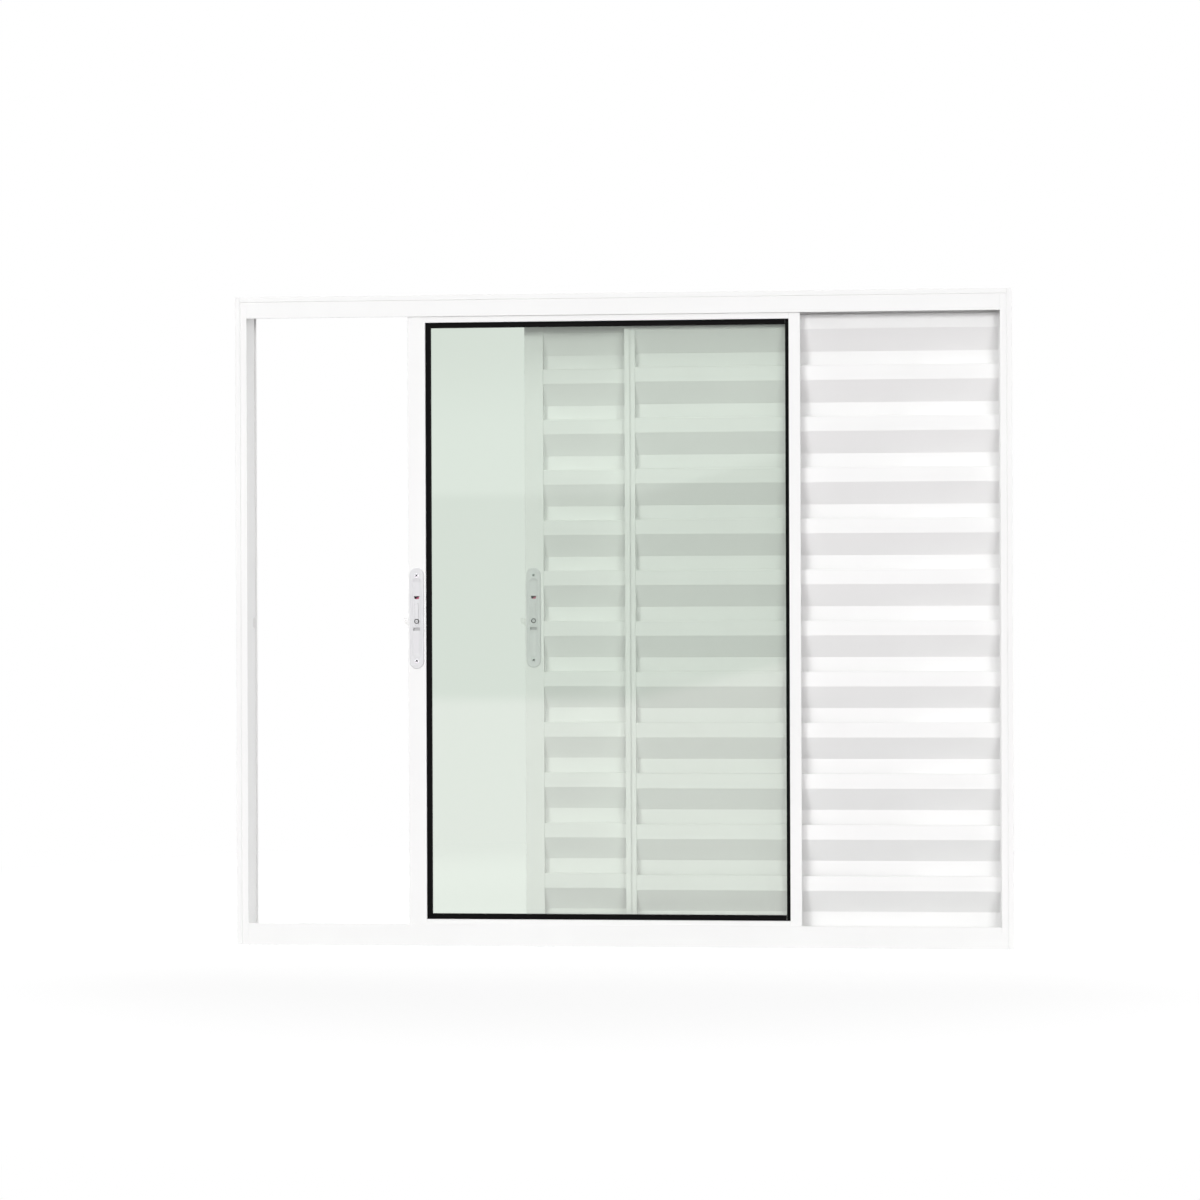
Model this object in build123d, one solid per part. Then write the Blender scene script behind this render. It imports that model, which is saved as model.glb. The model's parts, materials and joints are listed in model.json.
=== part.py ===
"""Louvred sliding window of white painted aluminium, seen from the room.

Three leaves stand in three tracks of one frame: a glass sash nearest the room,
a fixed louvred leaf in the middle track and a sliding louvred leaf outside it.
X runs to the right as seen from the room, Y to the outside and Z up. The origin
is the middle of the underside of the sill. All sizes are in millimetres.
"""

import os

from build123d import *

# Frame
FRAME_WIDTH = 1190.0
FRAME_HEIGHT = 1000.0
FRAME_DEPTH = 74.0
FRAME_WALL = 1.5
LIP = 8.0                   # lip on the room side that covers the joint with the wall
LIP_GROOVE = 1.4            # width of the groove that parts the lip from the face
LIP_GROOVE_DEPTH = 0.9
JAMB_LEG = 10.0             # how far a jamb's leg stands into the opening, past the lip
HEAD_LEG = 25.0             # height of the head's room-side leg, below the lip
HEAD_FIN = 16.0             # fins and outer leg of the head
SILL_LEG = 33.0             # height of the sill's room-side leg
SILL_FIN = 20.0             # fins and outer leg of the sill, lower so that water runs out
SILL_FLOOR = 2.0
DRAIN_COUNT = 3
DRAIN_SPACING = 380.0
DRAIN_LENGTH = 25.0
DRAIN_HEIGHT = 4.0
FIN_WALL = 1.2
TRACK_PITCH = 24.5          # from one leaf's middle plane to the next
RIB_HEIGHT = 7.0            # rib that a leaf's rollers run on
RIB_WALL = 1.5
COVER_SETBACK = 2.8         # flat face of the left jamb's cover, behind the leg's edge
COVER_WALL = 1.2
KEEPER_GAP = 1.5            # round a latch's tongue in the slot of the cover
EDGE = 0.5                  # rounding of the edges that show
SAME_POINT = 0.01           # corners closer than this are one corner

# Leaves
LEAF_DEPTH = 20.0
LEAF_WIDTH = 602.5
LEAF_WALL = 1.5
LEAF_FLOOR_GAP = 3.0        # between a leaf and the floor of the sill
LEAF_HEAD_GAP = 6.5         # room to lift a leaf off its rib
LEAF_SIDE_GAP = 2.6         # between a closed leaf and the left jamb's cover
GLASS_OPEN = 250.6          # how far the glass sash stands open
LOUVRE_OPEN = 426.2         # how far the sliding louvred leaf stands open
MEETING_SETBACK = 2.9       # fixed leaf's edge inside the closed leaves' edge
MEETING_STILE = 16.0        # of the louvred leaves
HOOK_WALL = 1.0
HOOK_REACH = 3.4            # how far an interlocking hook stands out of its stile
HOOK_WIDTH = 7.8
HOOK_DROP = 2.6             # a sliding leaf's hook stands out less, to pass inside the other
HOOK_END_GAP = 8.0          # hooks end short of the fins, also with a leaf lifted

# Glass sash
SASH_LATCH_STILE = 27.2
SASH_MEETING_STILE = 17.5
SASH_TOP_RAIL = 26.0
SASH_BOTTOM_RAIL = 35.5
GLAZING_GROOVE = 11.0
GROOVE_DEPTH = 8.0
GASKET_SIGHT = 7.5          # black gasket that shows round the glass
GASKET_SIGHT_MEETING = 5.4
GASKET_SEAT = 5.0           # how deep the glass sits in the gasket
GASKET_TAIL = 6.0           # how deep the gasket sits in the groove
GLASS_THICKNESS = 4.0
FIT = 0.3                   # clearance between pieces that are pushed together

# Louvred leaves
LOUVRE_LATCH_STILE = 29.0
SLAT_PITCH = 78.2
SLAT_WALL = 1.2
SLAT_UPPER = 22.8           # upright upper flange of a slat, on the room side
SLAT_WEB = 33.6             # height of the sloping web
SLAT_OVERLAP = 10.0         # lower flange behind the next slat
SLAT_TAIL = 5.0             # least lower flange of the lowest slat, above the rail
SLAT_RETURN = 2.5           # stiffening fold along both edges
SLAT_SETBACK = 1.5          # faces of the slats behind the faces of the leaf
SLAT_BEND = 2.0
SLAT_FOLD = 1.0
LOUVRE_TOP_RAIL = 16.5
LOUVRE_BOTTOM_RAIL = 24.0
RAIL_DRIP = 11.0            # flange of the top rail behind the first slat

# Rail channel and rollers
RAIL_CHANNEL = 17.0         # open channel under a bottom rail, over the rib
STILE_NOTCH_GAP = 2.0       # over the rib, in the notched foot of a stile
ROLLER_RADIUS = 7.0
ROLLER_GROOVE = 1.5
ROLLER_WIDTH = 8.0
ROLLER_INSET = 70.0
AXLE_RADIUS = 2.0
ROLLER_GAP = 0.1

# Latches of the two sliding leaves
LATCH_HEIGHT = 155.0
LATCH_WIDTH = 22.0
LATCH_PLATE = 2.2
LATCH_EDGE = 0.8
LATCH_CENTRE = 503.5        # height above the floor
LATCH_SETBACK = 2.0         # plate's edge from the leaf's edge
DISH_HEIGHT = 123.0         # shallow finger dish down the plate
DISH_WIDTH = 15.0
DISH_DEPTH = 1.4
SCREW_SPACING = 131.4       # between the two screws that hold the plate
SCREW_SEAT_RADIUS = 3.8     # countersunk seat of a screw
SCREW_SEAT_FLOOR = 2.6
SCREW_SEAT_DEPTH = 1.0
WINDOW_WIDTH = 9.2          # opening that shows whether the latch is locked
WINDOW_HEIGHT = 4.6
WINDOW_TAPER = 1.5          # how much each of its sides leans in towards the bottom
WINDOW_RISE = 31.5          # above the latch's middle
VENT_WIDTH = 10.4           # second opening, below the button
VENT_RISE = -17.0
SLIDE_WIDTH = 5.0           # rib of the thumb slide
SLIDE_TOP = 23.5            # ends of the rib above the latch's middle
SLIDE_LOW = -12.5
SLIDE_STAND = 1.7
BUTTON_RADIUS = 3.8
BUTTON_RING = 2.4
BUTTON_STAND = 2.4
BUTTON_GROOVE = 0.7
BUTTON_RISE = -4.9
TONGUE_REACH = 8.0          # tongue that engages the jamb
TONGUE_ROOT = 6.0           # part of it inside the stile
TONGUE_BARB = 4.0
TONGUE_BARB_RISE = 1.6
TONGUE_HEIGHT = 12.5
TONGUE_NOSE = 7.0           # upright nose, above the slope
TONGUE_RISE = -0.8          # its top edge above the latch's middle
TONGUE_WALL = 3.0

# Worked out from the sizes above
FRONT = -FRAME_DEPTH / 2
BACK = FRAME_DEPTH / 2
WEB_FRONT = FRONT + FRAME_WALL + FIT
WEB_BACK = BACK - FRAME_WALL - FIT
JAMB_EDGE = FRAME_WIDTH / 2 - LIP - JAMB_LEG
JAMB_WEB = FRAME_WIDTH / 2 - LIP - FRAME_WALL
HEAD_WEB_TOP = FRAME_HEIGHT - LIP
HEAD_WEB = HEAD_WEB_TOP - FRAME_WALL
HEAD_APRON_LOW = HEAD_WEB_TOP - HEAD_LEG
HEAD_FIN_LOW = HEAD_WEB_TOP - HEAD_FIN
LEAF_LOW = SILL_FLOOR + LEAF_FLOOR_GAP
LEAF_HIGH = HEAD_WEB - LEAF_HEAD_GAP
COVER_FACE = -JAMB_EDGE - COVER_SETBACK
CLOSED_LEFT = COVER_FACE + LEAF_SIDE_GAP
CLOSED_RIGHT = CLOSED_LEFT + LEAF_WIDTH
SASH_LEFT = CLOSED_LEFT + GLASS_OPEN
LOUVRE_LEFT = CLOSED_LEFT + LOUVRE_OPEN
FIXED_LEFT = CLOSED_RIGHT - MEETING_SETBACK - MEETING_STILE
SASH_PLANE = -TRACK_PITCH
FIXED_PLANE = 0.0
LOUVRE_PLANE = TRACK_PITCH
HALF_LEAF = LEAF_DEPTH / 2
RIB_TOP = SILL_FLOOR + RIB_HEIGHT
FIRST_SLAT = LEAF_HIGH - LOUVRE_TOP_RAIL - FIT
RAIL_BED = LEAF_LOW + RAIL_CHANNEL + LEAF_WALL + FIT


def patch(u0, v0, u1, v1):
    """A rectangle of a section between two corners."""
    return Pos((u0 + u1) / 2, (v0 + v1) / 2) * Rectangle(abs(u1 - u0), abs(v1 - v0))


def soften(section, corners, radius=EDGE):
    """Round the corners of a section that lie at the given points."""
    chosen = [
        vertex
        for vertex in section.vertices()
        if any(abs(vertex.X - u) + abs(vertex.Y - v) < SAME_POINT for u, v in corners)
    ]
    return fillet(chosen, radius)


def groove(u, v, across_u):
    """Triangular groove of a section, open to the room side."""
    half = LIP_GROOVE / 2
    if across_u:
        points = [(u - half, v), (u + half, v), (u, v + LIP_GROOVE_DEPTH)]
    else:
        points = [(u, v - half), (u, v + half), (u + LIP_GROOVE_DEPTH, v)]
    return make_face(Polyline(*points, close=True))


def along_x(section, start, end):
    """Extrude a section drawn in Y and Z from one X to another."""
    return extrude(Plane.YZ.offset(start) * section, end - start)


def along_z(section, start, end):
    """Extrude a section drawn in X and Y from one height to another."""
    return extrude(Plane.XY.offset(start) * section, end - start)


def head():
    """Head: a lip, a web, two legs and two fins that part the tracks."""
    lip = patch(FRONT, HEAD_WEB_TOP, FRONT + FRAME_WALL, FRAME_HEIGHT)
    lip = soften(lip, [(FRONT, FRAME_HEIGHT)]) - groove(FRONT, HEAD_WEB_TOP, False)
    web = patch(WEB_FRONT, HEAD_WEB, WEB_BACK, HEAD_WEB_TOP)
    legs = patch(FRONT, HEAD_APRON_LOW, FRONT + FRAME_WALL, HEAD_WEB_TOP)
    legs += patch(BACK - FRAME_WALL, HEAD_FIN_LOW, BACK, HEAD_WEB_TOP)
    legs += patch(FRONT, HEAD_WEB, BACK, HEAD_WEB_TOP)
    for side in (-1, 1):
        middle = side * TRACK_PITCH / 2
        legs += patch(middle - FIN_WALL / 2, HEAD_FIN_LOW, middle + FIN_WALL / 2, HEAD_WEB_TOP)
    edges = [(FRONT, HEAD_APRON_LOW), (FRONT + FRAME_WALL, HEAD_APRON_LOW), (BACK, HEAD_FIN_LOW)]
    legs = soften(legs, edges)
    legs -= groove(FRONT, HEAD_WEB_TOP, False)
    body = along_x(legs, -JAMB_EDGE, JAMB_EDGE)
    body += along_x(web, -JAMB_WEB, JAMB_WEB)
    return body + along_x(lip, -FRAME_WIDTH / 2 + LIP, FRAME_WIDTH / 2 - LIP)


def drains():
    """Slots through the sill's fins and outer leg, level with its floor."""
    cutters = Part()
    first = -(DRAIN_COUNT - 1) / 2 * DRAIN_SPACING
    walls = [(-TRACK_PITCH / 2, FIN_WALL), (TRACK_PITCH / 2, FIN_WALL), (BACK - FRAME_WALL / 2, FRAME_WALL)]
    for index in range(DRAIN_COUNT):
        middle = first + index * DRAIN_SPACING
        for wall_y, wall in walls:
            section = patch(wall_y - wall, SILL_FLOOR, wall_y + wall, SILL_FLOOR + DRAIN_HEIGHT)
            cutters += along_x(section, middle - DRAIN_LENGTH / 2, middle + DRAIN_LENGTH / 2)
    return cutters


def sill():
    """Sill: a floor that rests flat, a high inner leg, a low outer leg, fins and ribs."""
    floor = patch(WEB_FRONT, 0, WEB_BACK, SILL_FLOOR)
    legs = patch(FRONT, 0, FRONT + FRAME_WALL, SILL_LEG)
    legs += patch(BACK - FRAME_WALL, 0, BACK, SILL_FIN)
    legs += patch(FRONT, 0, BACK, SILL_FLOOR)
    for side in (-1, 1):
        middle = side * TRACK_PITCH / 2
        legs += patch(middle - FIN_WALL / 2, 0, middle + FIN_WALL / 2, SILL_FIN)
    for plane in (SASH_PLANE, FIXED_PLANE, LOUVRE_PLANE):
        legs += patch(plane - RIB_WALL / 2, 0, plane + RIB_WALL / 2, RIB_TOP)
        legs = soften(legs, [(plane - RIB_WALL / 2, RIB_TOP), (plane + RIB_WALL / 2, RIB_TOP)])
    legs = soften(legs, [(FRONT, SILL_LEG), (FRONT + FRAME_WALL, SILL_LEG), (BACK, SILL_FIN)])
    body = along_x(legs, -JAMB_EDGE, JAMB_EDGE) - drains()
    return body + along_x(floor, -JAMB_WEB, JAMB_WEB)


def jamb(side):
    """Jamb: a web, two legs into the opening and the lip, which runs past head and sill."""
    outer = FRAME_WIDTH / 2 - LIP
    section = patch(JAMB_WEB, FRONT, outer, BACK)
    section += patch(JAMB_EDGE, FRONT, outer, FRONT + FRAME_WALL)
    section += patch(JAMB_EDGE, BACK - FRAME_WALL, outer, BACK)
    section = soften(section, [(JAMB_EDGE, FRONT), (JAMB_EDGE, BACK), (outer, BACK)])
    section -= groove(outer, FRONT, True)
    lip = patch(outer, FRONT, FRAME_WIDTH / 2, FRONT + FRAME_WALL)
    lip = soften(lip, [(FRAME_WIDTH / 2, FRONT)]) - groove(outer, FRONT, True)
    body = along_z(section, 0, HEAD_WEB_TOP) + along_z(lip, 0, FRAME_HEIGHT)
    return body if side > 0 else mirror(body, Plane.YZ)


def left_jamb_cover():
    """Cover that closes the left jamb with one flat face, clipped between its legs."""
    low, high = FRONT + FRAME_WALL, BACK - FRAME_WALL
    section = patch(COVER_FACE - COVER_WALL, low, COVER_FACE, high)
    section += patch(-JAMB_WEB, low, COVER_FACE, low + COVER_WALL)
    section += patch(-JAMB_WEB, high - COVER_WALL, COVER_FACE, high)
    body = along_z(section, SILL_FLOOR, HEAD_WEB)
    for plane in (SASH_PLANE, LOUVRE_PLANE):
        half = TONGUE_WALL / 2 + KEEPER_GAP
        top = LATCH_CENTRE + TONGUE_RISE + KEEPER_GAP
        slot = patch(plane - half, top - TONGUE_HEIGHT - 2 * KEEPER_GAP, plane + half, top)
        body -= along_x(slot, COVER_FACE - COVER_WALL, COVER_FACE)
    return body


def leaf_corners(left, width, plane):
    """Outer corners of a stile's section."""
    return [(u, v) for u in (left, left + width) for v in (plane - HALF_LEAF, plane + HALF_LEAF)]


def stile_tube(left, width, plane):
    """Section of a rectangular tube as deep as a leaf."""
    outer = patch(left, plane - HALF_LEAF, left + width, plane + HALF_LEAF)
    outer = soften(outer, leaf_corners(left, width, plane))
    inner = patch(
        left + LEAF_WALL,
        plane - HALF_LEAF + LEAF_WALL,
        left + width - LEAF_WALL,
        plane + HALF_LEAF - LEAF_WALL,
    )
    return outer - inner


def hook(edge, face, out, turn, reach):
    """Interlocking hook that stands out of a face and turns along X, between the fins."""
    stem = patch(edge, face, edge + turn * HOOK_WALL, face + out * reach)
    leg = patch(edge, face + out * (reach - HOOK_WALL), edge + turn * HOOK_WIDTH, face + out * reach)
    return along_z(stem + leg, SILL_FIN + HOOK_END_GAP, HEAD_FIN_LOW - HOOK_END_GAP)


def stile(section, left, width, plane):
    """Stile cut to length, with its foot notched over the rib."""
    body = along_z(section, LEAF_LOW, LEAF_HIGH)
    half = HALF_LEAF - LEAF_WALL
    notch = patch(plane - half, LEAF_LOW, plane + half, RIB_TOP + STILE_NOTCH_GAP)
    return body - along_x(notch, left, left + width)


def glazed_stile(left, width, groove_side):
    """Stile of the glass sash: a tube with a glazing groove on one side."""
    plane = SASH_PLANE
    block = patch(left, plane - HALF_LEAF, left + width, plane + HALF_LEAF)
    block = soften(block, leaf_corners(left, width, plane))
    bed = left + width - GROOVE_DEPTH if groove_side > 0 else left + GROOVE_DEPTH
    mouth = left + width if groove_side > 0 else left
    block -= patch(bed, plane - GLAZING_GROOVE / 2, mouth, plane + GLAZING_GROOVE / 2)
    far = left if groove_side > 0 else left + width
    chamber_u0 = far + groove_side * LEAF_WALL
    chamber_u1 = bed - groove_side * LEAF_WALL
    low, high = plane - HALF_LEAF + LEAF_WALL, plane + HALF_LEAF - LEAF_WALL
    return block - patch(chamber_u0, low, chamber_u1, high)


def sash_latch_stile():
    section = glazed_stile(SASH_LEFT, SASH_LATCH_STILE, 1)
    body = stile(section, SASH_LEFT, SASH_LATCH_STILE, SASH_PLANE)
    return body - latch_windows(SASH_LEFT, SASH_PLANE) - tongue_slot(SASH_LEFT, SASH_PLANE)


def sash_meeting_stile():
    right = SASH_LEFT + LEAF_WIDTH
    left = right - SASH_MEETING_STILE
    section = glazed_stile(left, SASH_MEETING_STILE, -1)
    body = stile(section, left, SASH_MEETING_STILE, SASH_PLANE)
    return body + hook(right, SASH_PLANE + HALF_LEAF, 1, -1, HOOK_DROP)


def rail_channel(plane):
    """Open channel of a bottom rail that straddles the rib."""
    return patch(
        plane - HALF_LEAF + LEAF_WALL,
        LEAF_LOW,
        plane + HALF_LEAF - LEAF_WALL,
        LEAF_LOW + RAIL_CHANNEL,
    )


def sash_rail(low, high, groove_side, channel):
    """Rail of the glass sash with its glazing groove up or down."""
    plane = SASH_PLANE
    section = patch(plane - HALF_LEAF, low, plane + HALF_LEAF, high)
    half = GLAZING_GROOVE / 2
    if groove_side > 0:
        section -= patch(plane - half, high - GROOVE_DEPTH, plane + half, high)
    else:
        section -= patch(plane - half, low, plane + half, low + GROOVE_DEPTH)
    if channel:
        section -= rail_channel(plane)
    else:
        section -= patch(
            plane - HALF_LEAF + LEAF_WALL,
            low + GROOVE_DEPTH + LEAF_WALL,
            plane + HALF_LEAF - LEAF_WALL,
            high - LEAF_WALL,
        )
    left = SASH_LEFT + SASH_LATCH_STILE
    return along_x(section, left, SASH_LEFT + LEAF_WIDTH - SASH_MEETING_STILE)


def gasket_section(sight_edge, bed, slot_end):
    """Section of the channel gasket: u across the glass edge, v through its thickness."""
    half = GLAZING_GROOVE / 2 - FIT
    body = patch(bed, -half, sight_edge, half)
    return body - patch(slot_end, -GLASS_THICKNESS / 2, sight_edge, GLASS_THICKNESS / 2)


def pane_box():
    """Edges of the glass: left, right, low and high."""
    left = SASH_LEFT + SASH_LATCH_STILE + GASKET_SIGHT - GASKET_SEAT
    right = SASH_LEFT + LEAF_WIDTH - SASH_MEETING_STILE - GASKET_SIGHT_MEETING + GASKET_SEAT
    low = LEAF_LOW + SASH_BOTTOM_RAIL + GASKET_SIGHT - GASKET_SEAT
    high = LEAF_HIGH - SASH_TOP_RAIL - GASKET_SIGHT + GASKET_SEAT
    return left, right, low, high


def pane():
    left, right, low, high = pane_box()
    half = GLASS_THICKNESS / 2
    return along_z(patch(left, SASH_PLANE - half, right, SASH_PLANE + half), low, high)


def pane_gasket():
    """Four strips of channel gasket that grip the glass and sit in the groove."""
    left, right, low, high = pane_box()
    stile_in = SASH_LEFT + SASH_LATCH_STILE
    stile_out = SASH_LEFT + LEAF_WIDTH - SASH_MEETING_STILE
    rail_low = LEAF_LOW + SASH_BOTTOM_RAIL
    rail_high = LEAF_HIGH - SASH_TOP_RAIL
    place = Pos(0, SASH_PLANE)
    shift = Pos(SASH_PLANE, 0)
    turn = Rot(0, 0, 90)
    side_low, side_high = rail_low - GASKET_TAIL, rail_high + GASKET_TAIL
    first = place * gasket_section(stile_in + GASKET_SIGHT, stile_in - GASKET_TAIL, left)
    last = place * gasket_section(stile_out - GASKET_SIGHT_MEETING, stile_out + GASKET_TAIL, right)
    lower = shift * turn * gasket_section(rail_low + GASKET_SIGHT, rail_low - GASKET_TAIL, low)
    upper = shift * turn * gasket_section(rail_high - GASKET_SIGHT, rail_high + GASKET_TAIL, high)
    across_left = stile_in + GASKET_SIGHT + FIT
    across_right = stile_out - GASKET_SIGHT_MEETING - FIT
    strips = [
        along_z(first, side_low, side_high),
        along_z(last, side_low, side_high),
        along_x(lower, across_left, across_right),
        along_x(upper, across_left, across_right),
    ]
    return Compound(children=[solid for strip in strips for solid in strip.solids()])


def slat_section(plane, top, low):
    """Section of a slat bent from sheet: folded edge, upright, sloping web, upright."""
    near = plane - HALF_LEAF + SLAT_SETBACK + SLAT_WALL / 2
    far = plane + HALF_LEAF - SLAT_SETBACK - SLAT_WALL / 2
    upper = top - SLAT_WALL / 2
    path = FilletPolyline(
        (near + SLAT_RETURN, upper),
        (near, upper),
        (near, top - SLAT_UPPER),
        (far, top - SLAT_UPPER - SLAT_WEB),
        (far, low + SLAT_WALL),
        radius=[SLAT_FOLD, SLAT_BEND, SLAT_BEND],
    )
    lower_fold = patch(far - SLAT_RETURN, low, far + SLAT_WALL / 2, low + SLAT_WALL)
    return trace(path, SLAT_WALL) + lower_fold


def slats(plane, left, right):
    """The slats of one leaf, each overlapping the next on the outside.

    The lowest slat stands in the channel on top of the bottom rail."""
    shortest = SLAT_UPPER + SLAT_WEB + SLAT_TAIL
    spaces = int((FIRST_SLAT - RAIL_BED - shortest) // SLAT_PITCH)
    made = []
    for index in range(spaces + 1):
        top = FIRST_SLAT - index * SLAT_PITCH
        low = top - SLAT_PITCH - SLAT_OVERLAP if index < spaces else RAIL_BED
        made.append(along_x(slat_section(plane, top, low), left, right))
    return made


def louvre_top_rail(plane, left, right):
    low = LEAF_HIGH - LOUVRE_TOP_RAIL
    section = patch(plane - HALF_LEAF, low, plane + HALF_LEAF, LEAF_HIGH)
    section -= patch(
        plane - HALF_LEAF + LEAF_WALL, low + LEAF_WALL, plane + HALF_LEAF - LEAF_WALL, LEAF_HIGH
    )
    drip = plane + HALF_LEAF - SLAT_SETBACK
    section += patch(drip - SLAT_WALL, low - RAIL_DRIP, drip, low)
    return along_x(section, left, right)


def louvre_bottom_rail(plane, left, right):
    section = patch(plane - HALF_LEAF, LEAF_LOW, plane + HALF_LEAF, LEAF_LOW + LOUVRE_BOTTOM_RAIL)
    section -= rail_channel(plane)
    section -= patch(
        plane - HALF_LEAF + LEAF_WALL,
        LEAF_LOW + RAIL_CHANNEL + LEAF_WALL,
        plane + HALF_LEAF - SLAT_SETBACK,
        LEAF_LOW + LOUVRE_BOTTOM_RAIL,
    )
    return along_x(section, left, right)


def louvre_latch_stile():
    section = stile_tube(LOUVRE_LEFT, LOUVRE_LATCH_STILE, LOUVRE_PLANE)
    body = stile(section, LOUVRE_LEFT, LOUVRE_LATCH_STILE, LOUVRE_PLANE)
    return body - latch_windows(LOUVRE_LEFT, LOUVRE_PLANE) - tongue_slot(LOUVRE_LEFT, LOUVRE_PLANE)


def louvre_meeting_stile():
    right = LOUVRE_LEFT + LEAF_WIDTH
    left = right - MEETING_STILE
    section = stile_tube(left, MEETING_STILE, LOUVRE_PLANE)
    body = stile(section, left, MEETING_STILE, LOUVRE_PLANE)
    return body + hook(right, LOUVRE_PLANE - HALF_LEAF, -1, -1, HOOK_DROP)


def fixed_meeting_stile():
    """Fixed leaf's stile with a hook on each face for the two sliding leaves."""
    section = stile_tube(FIXED_LEFT, MEETING_STILE, FIXED_PLANE)
    body = stile(section, FIXED_LEFT, MEETING_STILE, FIXED_PLANE)
    body += hook(FIXED_LEFT, FIXED_PLANE - HALF_LEAF, -1, 1, HOOK_REACH)
    return body + hook(FIXED_LEFT, FIXED_PLANE + HALF_LEAF, 1, 1, HOOK_REACH)


def fixed_end_channel():
    """Slim channel that holds the slats' ends inside the right jamb."""
    outer = patch(JAMB_EDGE, FIXED_PLANE - HALF_LEAF, JAMB_WEB, FIXED_PLANE + HALF_LEAF)
    inner = patch(
        JAMB_EDGE,
        FIXED_PLANE - HALF_LEAF + LEAF_WALL,
        JAMB_WEB - LEAF_WALL,
        FIXED_PLANE + HALF_LEAF - LEAF_WALL,
    )
    return along_z(outer - inner, LEAF_LOW, LEAF_HIGH)


def roller(x, plane):
    """Grooved wheel with its axle, which spans the rail's channel."""
    groove_radius = ROLLER_RADIUS - ROLLER_GROOVE
    axis_height = RIB_TOP + ROLLER_GAP + groove_radius
    half = ROLLER_WIDTH / 2
    axle_half = HALF_LEAF - LEAF_WALL - FIT
    outline = Polyline(
        (0, -axle_half),
        (AXLE_RADIUS, -axle_half),
        (AXLE_RADIUS, -half),
        (ROLLER_RADIUS, -half),
        (groove_radius, -RIB_WALL / 2 - FIT),
        (groove_radius, RIB_WALL / 2 + FIT),
        (ROLLER_RADIUS, half),
        (AXLE_RADIUS, half),
        (AXLE_RADIUS, axle_half),
        (0, axle_half),
        close=True,
    )
    return Pos(x, plane, axis_height) * revolve(Plane.XY * make_face(outline), Axis.Y)


def rollers():
    """Four wheels, two under each sliding leaf."""
    wheels = []
    for left, plane in ((SASH_LEFT, SASH_PLANE), (LOUVRE_LEFT, LOUVRE_PLANE)):
        for x in (left + ROLLER_INSET, left + LEAF_WIDTH - ROLLER_INSET):
            wheels.extend(roller(x, plane).solids())
    return Compound(children=wheels)


def on_latch(left, plane, shape):
    """Move a shape from the latch's own middle to its place on a stile's room face."""
    middle = left + LATCH_SETBACK + LATCH_WIDTH / 2
    return Pos(middle, plane - HALF_LEAF, LATCH_CENTRE) * shape


def upright_slot(height, width):
    """Round-ended outline that stands upright."""
    return Rot(0, 0, 90) * SlotOverall(height, width)


def towards_room(outline, stand, start=0.0):
    """Extrude an outline drawn in X and Z towards the room, from a depth behind the face."""
    return extrude(Plane.XZ.offset(-start) * outline, stand + start)


def latch_windows(left, plane):
    """Two openings through a latch's plate and the wall of its stile."""
    window = make_face(
        Polyline(
            (-WINDOW_WIDTH / 2, WINDOW_RISE + WINDOW_HEIGHT / 2),
            (WINDOW_WIDTH / 2, WINDOW_RISE + WINDOW_HEIGHT / 2),
            (WINDOW_WIDTH / 2 - WINDOW_TAPER, WINDOW_RISE - WINDOW_HEIGHT / 2),
            (-WINDOW_WIDTH / 2 + WINDOW_TAPER, WINDOW_RISE - WINDOW_HEIGHT / 2),
            close=True,
        )
    )
    vent = Pos(0, VENT_RISE) * Rectangle(VENT_WIDTH, WINDOW_HEIGHT)
    return on_latch(left, plane, towards_room(window + vent, LATCH_PLATE, LEAF_WALL))


def dish():
    """Scoop of a finger dish: a long capsule that dips into the plate's face."""
    radius = ((DISH_WIDTH / 2) ** 2 + DISH_DEPTH**2) / (2 * DISH_DEPTH)
    straight = DISH_HEIGHT - DISH_WIDTH
    scoop = Cylinder(radius, straight)
    for end in (-1, 1):
        scoop += Pos(0, 0, end * straight / 2) * Sphere(radius)
    return Pos(0, -LATCH_PLATE + DISH_DEPTH - radius, 0) * scoop


def screw_seats():
    """Countersunk seats of the plate's two screws."""
    cone = Rot(90, 0, 0) * Cone(SCREW_SEAT_FLOOR, SCREW_SEAT_RADIUS, SCREW_SEAT_DEPTH)
    low, high = (
        Pos(0, SCREW_SEAT_DEPTH / 2 - LATCH_PLATE, end * SCREW_SPACING / 2) * cone for end in (-1, 1)
    )
    return low + high


def slide_outline(clearance):
    """Rib and round button of the thumb slide, grown by a clearance."""
    height = SLIDE_TOP - SLIDE_LOW + 2 * clearance
    rib = Pos(0, (SLIDE_TOP + SLIDE_LOW) / 2) * upright_slot(height, SLIDE_WIDTH + 2 * clearance)
    return rib + Pos(0, BUTTON_RISE) * Circle(BUTTON_RADIUS + clearance)


def latch_plate(left, plane):
    """Round-ended plate with screw seats, a finger dish, two openings and the slide's slot."""
    plate = towards_room(upright_slot(LATCH_HEIGHT, LATCH_WIDTH), LATCH_PLATE)
    rim = plate.faces().sort_by(Axis.Y)[0].edges()
    plate = chamfer(rim, LATCH_EDGE) - dish() - screw_seats()
    plate -= towards_room(slide_outline(FIT), LATCH_PLATE)
    return on_latch(left, plane, plate) - latch_windows(left, plane)


def latch_slide(left, plane):
    """Thumb slide: a rib with a round button that has a ring groove."""
    body = towards_room(slide_outline(0), SLIDE_STAND)
    profile = Polyline(
        (0, 0),
        (BUTTON_RADIUS, 0),
        (BUTTON_RADIUS, BUTTON_STAND - BUTTON_GROOVE),
        (BUTTON_RING, BUTTON_STAND - BUTTON_GROOVE),
        (BUTTON_RING, BUTTON_STAND),
        (0, BUTTON_STAND),
        close=True,
    )
    button = Rot(90, 0, 0) * revolve(Plane.XZ * make_face(profile), Axis.Z)
    return on_latch(left, plane, body + Pos(0, 0, BUTTON_RISE) * button)


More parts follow.
